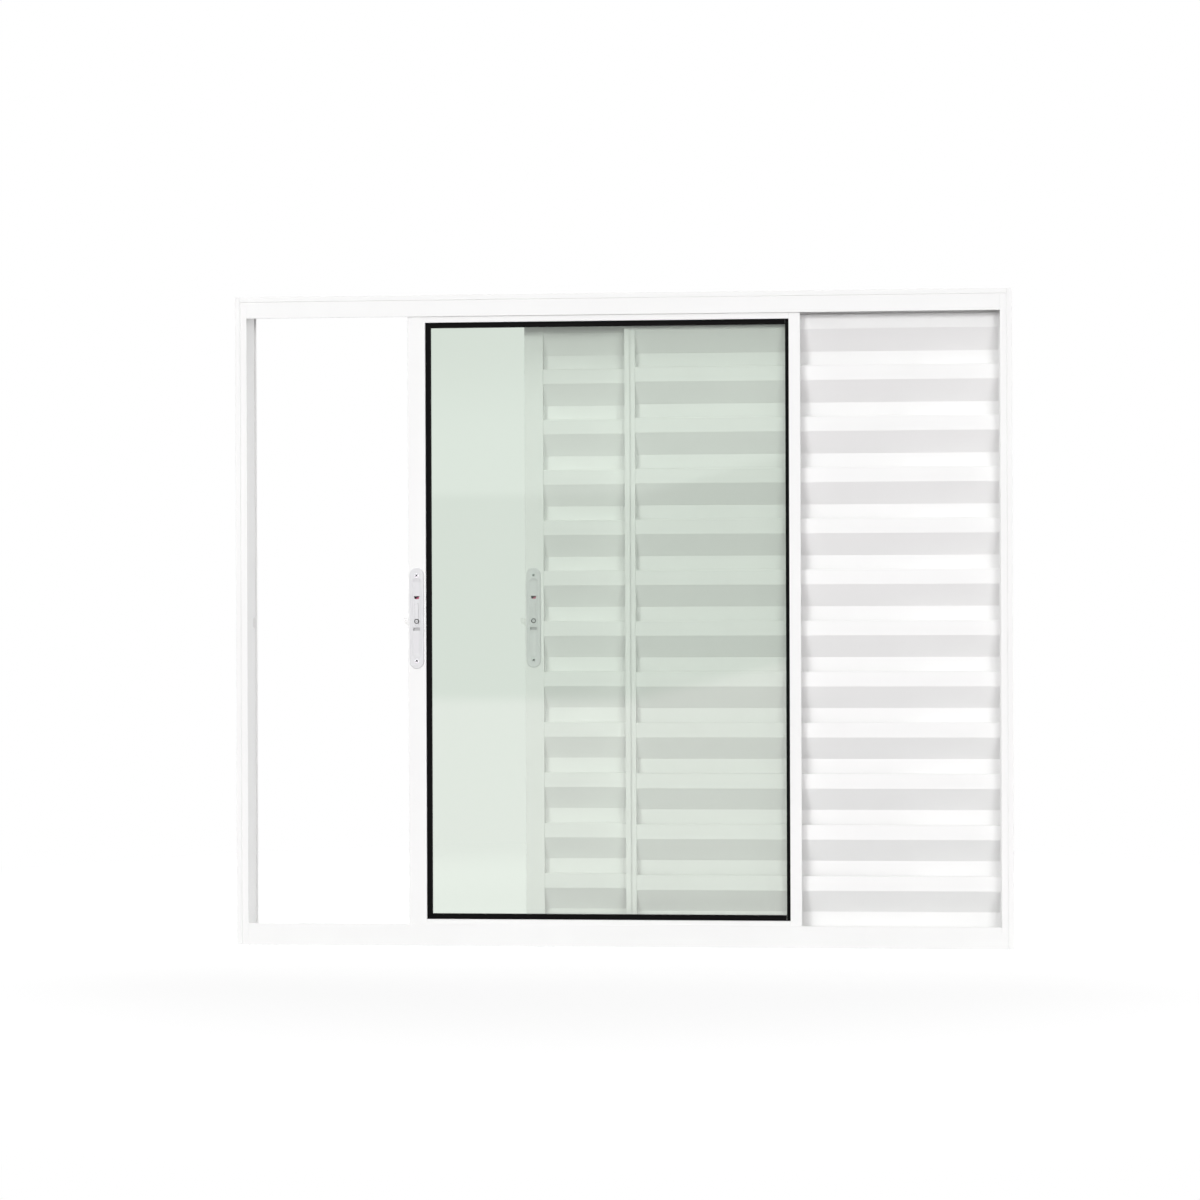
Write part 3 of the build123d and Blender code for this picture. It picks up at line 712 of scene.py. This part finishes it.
# %% [markdown]
# ## Ring of the thumb button
#
# The button of a latch's slide has a step round its middle. A dark ring lies on that step
# and gives the thumb a grip. A torus would be round all over, so the ring is spun from
# the section of a flat ring with its upper edges taken off, and then turned to face the
# room.

# %% Button ring
BUTTON_RISE = -4.9 * MM
BUTTON_STEP = 1.7 * MM
ring_section = [(2.5, 0.0), (3.75, 0.0), (3.75, 0.3), (3.5, 0.5), (2.75, 0.5), (2.5, 0.3)]


def add_piece(piece, finish):
    """Put a finished piece in the scene, on the window's one body."""
    bpy.context.scene.collection.objects.link(piece)
    piece.data.materials.append(finish)
    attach(piece, "root")
    print(piece.name, len(piece.data.polygons), "faces")


def button_ring(leaf):
    """The ring on the step of a leaf's thumb button."""
    middle, _, back = latch_frame(leaf)
    on_step = Matrix.Translation((middle.x, back - BUTTON_STEP, middle.z + BUTTON_RISE))
    ring = spun(f"{leaf}_button_ring", ring_section, hollow=True)
    ring.data.transform(on_step @ TOWARDS_ROOM.to_matrix().to_4x4())
    add_piece(ring, dark_steel_and_shade)


print("corners of the ring's section:", len(ring_section))

# %% [markdown]
# ## Pin of the thumb button
#
# The slotted end of the pin that holds the button shows inside the ring. It could be a
# disc with a dark line on it, but a slot is a shape and catches the light on its edge. It
# is a low head with a straight recess, so the screw tree makes it, with a count of one.

# %% Button pin
BUTTON_STAND = 2.4 * MM
SLOT_REACH, SLOT_HALF = 1.3, 0.4
slot_outline = [
    (SLOT_REACH, -SLOT_HALF), (SLOT_REACH, SLOT_HALF),
    (-SLOT_REACH, SLOT_HALF), (-SLOT_REACH, -SLOT_HALF),
]
pin_head = spun("pin_head", [(1.3, -0.03), (1.5, 0.03), (1.4, 0.09)])
pin_slot = recess("pin_slot", slot_outline, low=0.0, high=0.2, turn=35)


def button_pin(leaf):
    """The slotted pin in the middle of a leaf's thumb button."""
    middle, _, back = latch_frame(leaf)
    screw_row(
        f"{leaf}_button_pin", pin_head, pin_slot, 1,
        start=(middle.x, back - BUTTON_STAND, middle.z + BUTTON_RISE), step=(0, 0, 0),
        turn=TOWARDS_ROOM, finish=latch_coat,
    )


for leaf in LEAVES:
    button_ring(leaf)
    button_pin(leaf)

# %% [markdown]
# ## Straight pieces inside a latch
#
# What lies behind a latch's plate is bent from strip or cut from sheet, so each piece is
# an outline drawn out straight, across the latch or from front to back. An extruded curve
# with a Solidify modifier could do it, but the walls between two rings that made the
# recesses make such a piece in one go, closed and with no modifier left on it.

# %% Straight pieces inside a latch
STILE_WALL = 1.5 * MM


def in_latch(leaf, depth, rise, along):
    """A point that many mm behind the stile's wall, above and right of the plate's middle."""
    middle, _, back = latch_frame(leaf)
    return (middle.x + along * MM, back + STILE_WALL + depth * MM, middle.z + rise * MM)


def bent_strip(name, leaf, section, rise, span):
    """A section of (depth, height) points, drawn out from left to right."""
    left, right = (
        [in_latch(leaf, depth, height + rise, along) for depth, height in section]
        for along in span
    )
    return walled(name, left, right)


def cut_sheet(name, leaf, shape, rise, span):
    """A shape of (along, height) points, drawn out from front to back."""
    front, rear = (
        [in_latch(leaf, depth, height + rise, along) for along, height in shape]
        for depth in span
    )
    return walled(name, front, rear)


for leaf in LEAVES:
    inside = in_latch(leaf, depth=0.0, rise=0.0, along=0.0)
    print(leaf, "latch, inside the stile's wall:", [round(x, 4) for x in inside])

# %% [markdown]
# ## What shows in a latch's windows
#
# Behind a latch's plate lies a dark case, folded from strip. The upper window shows the
# red corner of a flag in front of it, because the latch is open. The flag is cut from
# sheet with a slanted top. The lower window shows the boss of the slide's carriage, which
# is a hat section just behind the stile's wall. The whole lock could be modelled, but
# nothing more of it would show.

# %% Case, carriage and flag
CASE_SPAN = (-6.0, 4.3)
case_section = [
    (0.3, 40), (5.6, 40), (5.6, -25), (0.3, -25), (0.3, -24.2), (4.8, -24.2), (4.8, 39.2),
    (0.3, 39.2),
]
CARRIAGE_RISE = -17.0
CARRIAGE_SPAN = (-4.8, 4.8)
carriage_section = [
    (2.4, -5.5), (2.4, -2.8), (1.3, -2.4), (1.3, 2.4), (2.4, 2.8), (2.4, 5.5),
    (3.2, 5.5), (3.2, 2.0), (2.1, 1.6), (2.1, -1.6), (3.2, -2.0), (3.2, -5.5),
]
FLAG_RISE = 31.5
FLAG_DEPTH, FLAG_SHEET = 1.4, 0.9
FLAG_SPAN = (FLAG_DEPTH, FLAG_DEPTH + FLAG_SHEET)
flag_shape = [
    (-3.9, -7.0), (4.0, -7.0), (4.2, 1.4), (3.4, 1.9), (1.6, 0.9), (-1.8, -1.3), (-3.9, -2.2),
]

for leaf in LEAVES:
    case = bent_strip(f"{leaf}_latch_case", leaf, case_section, 0.0, CASE_SPAN)
    carriage = bent_strip(
        f"{leaf}_latch_carriage", leaf, carriage_section, CARRIAGE_RISE, CARRIAGE_SPAN
    )
    flag = cut_sheet(f"{leaf}_latch_flag", leaf, flag_shape, FLAG_RISE, FLAG_SPAN)
    add_piece(case, dark_steel_and_shade)
    add_piece(carriage, grey_casting)
    add_piece(flag, red_lacquer)

# %% [markdown]
# ## Screws at the frame's corners
#
# The jambs are screwed to the ends of the head and the sill, two screws at each corner,
# between the tracks. Their pan heads stand on the outer web of a jamb, in the space that
# the lip keeps clear of the wall. Eight single screws would need eight places. The screw
# tree needs one for each pair.

# %% Corner screws
SCREWS_AT_CORNER = 2
CORNER_SPACING = 24.5 * MM
SCREW_HEIGHTS = {"sill": 10.0 * MM, "head": 984.0 * MM}
JAMB_FACE = 587.0 * MM

for side, sign in (("left", -1), ("right", 1)):
    outwards = Euler((0, sign * math.radians(90), 0))
    for end, height in SCREW_HEIGHTS.items():
        screw_row(
            f"{side}_{end}_screws", pan_head, pan_cross, SCREWS_AT_CORNER,
            start=(sign * JAMB_FACE, -CORNER_SPACING / 2, height),
            step=(0, CORNER_SPACING, 0), turn=outwards, finish=zinc,
        )

# %% [markdown]
# ## Floor paint
#
# The window stands on a plain pale floor. One grey all over would give a hard horizon, or
# too much light from below. So the floor is a mid grey that gets paler over the last half
# metre before the window, from where it lights the sill, and stays so behind it. Where
# the camera or a mirror sees it, most of it is a white of its own, so that it melts into
# the white behind, and the rest keeps the contact shadow.

# %% Floor paint
FLOOR_GREYS = (0.26, 0.54)
SILL_REACH = 0.55
FADE = (0.6, 1.7)
NEAR_SHARE = 0.6
NEAR_GLOW = 1.44


def coordinate(tree, axis, space="Object"):
    """Where a point lies along one axis."""
    parts = tree.nodes.new("ShaderNodeSeparateXYZ")
    tree.links.new(coordinates(tree, space), parts.inputs["Vector"])
    return parts.outputs[axis]


def by_distance(tree, near):
    """A value that goes from near, at the window, to 1 out on the floor."""
    distance = tree.nodes.new("ShaderNodeVectorMath")
    distance.operation = "LENGTH"
    tree.links.new(coordinates(tree), distance.inputs[0])
    return mapped(tree, distance.outputs["Value"], FADE, (near, 1.0), smooth=True)


def floor_paint():
    """A matt grey under a white of the floor's own."""
    material, tree, shader = start_material("floor_paint")
    shader.inputs["Roughness"].default_value = 1.0
    shader.inputs["Specular IOR Level"].default_value = 0.0
    grey = mapped(tree, coordinate(tree, "Y"), (-SILL_REACH, 0.0), FLOOR_GREYS, smooth=True)
    tree.links.new(grey, shader.inputs["Base Color"])
    glow = tree.nodes.new("ShaderNodeEmission")
    tree.links.new(by_distance(tree, NEAR_GLOW), glow.inputs["Strength"])
    seen = ray_is(tree, SEEING_RAYS)
    share = worked_out(tree, "MULTIPLY", by_distance(tree, NEAR_SHARE), seen)
    show(tree, mixed(tree, share, shader.outputs["BSDF"], glow.outputs["Emission"]))
    return material


floor_matt = floor_paint()
tell(floor_matt)

# %% [markdown]
# ## Floor
#
# A studio floor runs far out on all sides and has no edge in the picture. A curved
# backdrop would hide the horizon too, but it would shade the back of the window. One flat
# square in the floor's paint, fourteen metres each way, is enough. It is stage, and no
# part of the window.

# %% Floor
FLOOR_HALF = 14.0


def flat_quad(name, half, near, far, finish):
    """A stage piece from -half to half along X, and from one (y, z) to another."""
    corners = [(-half, *near), (half, *near), (half, *far), (-half, *far)]
    mesh = bpy.data.meshes.new(name)
    mesh.from_pydata(corners, [], [(0, 1, 2, 3)])
    mesh.materials.append(finish)
    piece = bpy.data.objects.new(name, mesh)
    bpy.context.scene.collection.objects.link(piece)
    return piece


floor = flat_quad("floor", FLOOR_HALF, (-FLOOR_HALF, 0), (FLOOR_HALF, 0), floor_matt)
print(floor.name, "of", [round(x, 2) for x in floor.dimensions], "m")

# %% [markdown]
# ## What the glass mirrors
#
# Glass looks like glass by what it mirrors. The photograph's pane is darker over the
# middle, as if it mirrored a dim wall, and lighter below, as if it mirrored a bright floor
# whose edge climbs a little to the right. A faint light band lies higher up. A room could
# be built behind the camera, but it would take light away. So the reflection is painted:
# a card that glows in those tones by its height, though it is no lamp.

# %% Paint of the mirror card
EDGE_START = -0.4
EDGE_CLIMB = 0.25
TONES_HEIGHT = 2.0
DIM_TONE = (0.9, 0.9, 0.9)
BAND_TONE = (1.45, 1.45, 1.45)
BRIGHT_TONE = (1.85, 1.65, 1.75)
# tones of the painted reflection, by height on the card
reflection_tones = [
    (0.04, BRIGHT_TONE), (0.075, DIM_TONE), (0.475, DIM_TONE), (0.5, BAND_TONE),
    (0.6, BAND_TONE), (0.83, DIM_TONE),
]


def card_height(tree):
    """Height on the card, less what the edge of the bright tone climbs to the right."""
    past = worked_out(tree, "SUBTRACT", coordinate(tree, "X"), EDGE_START)
    climb = worked_out(tree, "MAXIMUM", past, 0.0)
    lift = worked_out(tree, "MULTIPLY", climb, EDGE_CLIMB)
    return worked_out(tree, "SUBTRACT", coordinate(tree, "Z"), lift)


def reflection_card_glow():
    """A painted reflection: a glow whose tone goes by the height."""
    material, tree, shader = start_material("reflection_card_glow")
    tree.nodes.remove(shader)
    tones = tree.nodes.new("ShaderNodeValToRGB")
    glow = tree.nodes.new("ShaderNodeEmission")
    level = mapped(tree, card_height(tree), (0.0, TONES_HEIGHT), WHOLE)
    tree.links.new(level, tones.inputs["Fac"])
    tree.links.new(tones.outputs["Color"], glow.inputs["Color"])
    show(tree, glow.outputs["Emission"])
    band = tones.color_ramp
    band.interpolation = "EASE"
    for stop, _ in reflection_tones[2:]:
        band.elements.new(stop)
    for element, (stop, tone) in zip(band.elements, reflection_tones):
        element.position = stop
        element.color = (*tone, 1.0)
    return material


painted_reflection = reflection_card_glow()
tell(painted_reflection)

# %% [markdown]
# ## Mirror cards
#
# Two flat cards in that paint stand for the wall behind the camera and the floor up to
# the window's foot. One bent card would do as well, but two flat ones are easier to place.
# Only mirrors see them: each is switched off for the camera, for diffuse and transmission
# rays and for shadows, so they show only as a painted reflection, and no light is taken
# away or added.

# %% Mirror cards
CARD_HALF = 6.0
CARD_Y = -7.0
CARD_HIGH = 5.0
CARD_NEAR_Y = -0.3
FLOOR_CLEAR = 0.001

cards = [
    flat_quad("mirror_wall", CARD_HALF, (CARD_Y, 0), (CARD_Y, CARD_HIGH), painted_reflection),
    flat_quad(
        "mirror_floor", CARD_HALF, (CARD_Y, FLOOR_CLEAR), (CARD_NEAR_Y, FLOOR_CLEAR), painted_reflection
    ),
]
for card in cards:
    card.visible_camera = False
    card.visible_diffuse = False
    card.visible_shadow = False
    card.visible_transmission = False
print("mirror cards:", len(cards))

# %% [markdown]
# ## World
#
# The photograph has a plain white background and soft light from all round. A white world
# gives both, but at full strength it would wash out the shades on the slats. So the world
# is white only where it is seen or mirrored. The light it sends is weaker, and more of it
# comes from behind the window than from the front, because the left jamb is bright on its
# inner side, which light from the front only grazes.

# %% World
AMBIENT = (0.39, 0.99)
TURNOVER = (-0.25, 0.25)


def white_world():
    """White to sight; as light, weaker in front and stronger behind the window."""
    world = bpy.data.worlds.new("studio")
    bpy.context.scene.world = world
    world.use_nodes = True
    tree = world.node_tree
    sky = tree.nodes["Background"]
    sky.inputs["Color"].default_value = (1.0, 1.0, 1.0, 1.0)
    ambient = mapped(tree, coordinate(tree, "Y", "Generated"), TURNOVER, AMBIENT)
    strength = mapped(tree, ray_is(tree, SEEING_RAYS), WHOLE, WHOLE)
    tree.links.new(ambient, strength.node.inputs["To Min"])
    tree.links.new(strength, sky.inputs["Strength"])


white_world()
print("ambient from front and back:", AMBIENT)

# %% [markdown]
# ## Suns
#
# A white window on white shows only by its shades. An area lamp near the window would
# light its middle more than its ends, so the light comes from soft suns, which are as
# strong at the sill as at the head. Two low ones stand a little to the left and to the
# right of the camera, so that the stiles and the jamb throw only a narrow shade on the
# slats' ends. A high one lights the sill and keeps the sloping webs, which face down,
# darker than the upright flanges. The fourth shines in from behind at the right, onto the
# inner side of the left jamb, without touching the front.

# %% Suns
WINDOW_MIDDLE = Vector((0.0, 0.0, 0.5))


def soft_sun(name, place, softness, strength):
    """A sun that shines from a place towards the window's middle."""
    light = bpy.data.lights.new(name, "SUN")
    light.angle = math.radians(softness)
    light.energy = strength
    lamp = bpy.data.objects.new(name, light)
    bpy.context.scene.collection.objects.link(lamp)
    lamp.location = place
    away = WINDOW_MIDDLE - Vector(place)
    lamp.rotation_euler = away.to_track_quat("-Z", "Y").to_euler()
    print(name, strength)


soft_sun("left_light", (-2.73, -8.4, 2.06), softness=16.0, strength=0.87)
soft_sun("right_light", (2.15, -8.64, 1.7), softness=20.0, strength=0.79)
soft_sun("high_light", (-1.8, -5.5, 7.4), softness=24.0, strength=0.46)
soft_sun("rear_light", (7.3, 5.1, 1.3), softness=20.0, strength=0.62)

# %% [markdown]
# ## Camera
#
# The photograph was taken from almost straight ahead, a little right of the middle and at
# mid height. A camera could be aimed by eye, but slanting lines show the smallest error.
# So it was worked out from the four corners of the frame, which gave its place, its small
# turn to the left and its focal length for the square picture.

# %% Camera
PICTURE = 1200
FOCAL_PIXELS = 2623.0
SENSOR = 36.0
CAMERA_PLACE = (276.1 * MM, -4037.0 * MM, 529.7 * MM)
CAMERA_YAW = math.radians(4.385)
CAMERA_PITCH = math.radians(0.01)
CAMERA_ROLL = math.radians(-0.207)


def photo_camera():
    """The photograph's camera, turned by its yaw, its pitch and its roll."""
    lens = bpy.data.cameras.new("photo_camera")
    lens.sensor_width = SENSOR
    lens.lens = FOCAL_PIXELS * SENSOR / PICTURE
    camera = bpy.data.objects.new("photo_camera", lens)
    bpy.context.scene.collection.objects.link(camera)
    ahead = Vector((
        -math.sin(CAMERA_YAW) * math.cos(CAMERA_PITCH),
        math.cos(CAMERA_YAW) * math.cos(CAMERA_PITCH),
        math.sin(CAMERA_PITCH),
    ))
    level = Vector((math.cos(CAMERA_YAW), math.sin(CAMERA_YAW), 0))
    upright = level.cross(ahead)
    right = math.cos(CAMERA_ROLL) * level + math.sin(CAMERA_ROLL) * upright
    up = right.cross(ahead)
    turn = Matrix((right, up, -ahead)).transposed().to_4x4()
    camera.matrix_world = Matrix.Translation(CAMERA_PLACE) @ turn
    return camera


bpy.context.scene.camera = photo_camera()
bpy.context.scene.view_settings.view_transform = "Standard"
print("lens:", round(bpy.context.scene.camera.data.lens, 2), "mm")
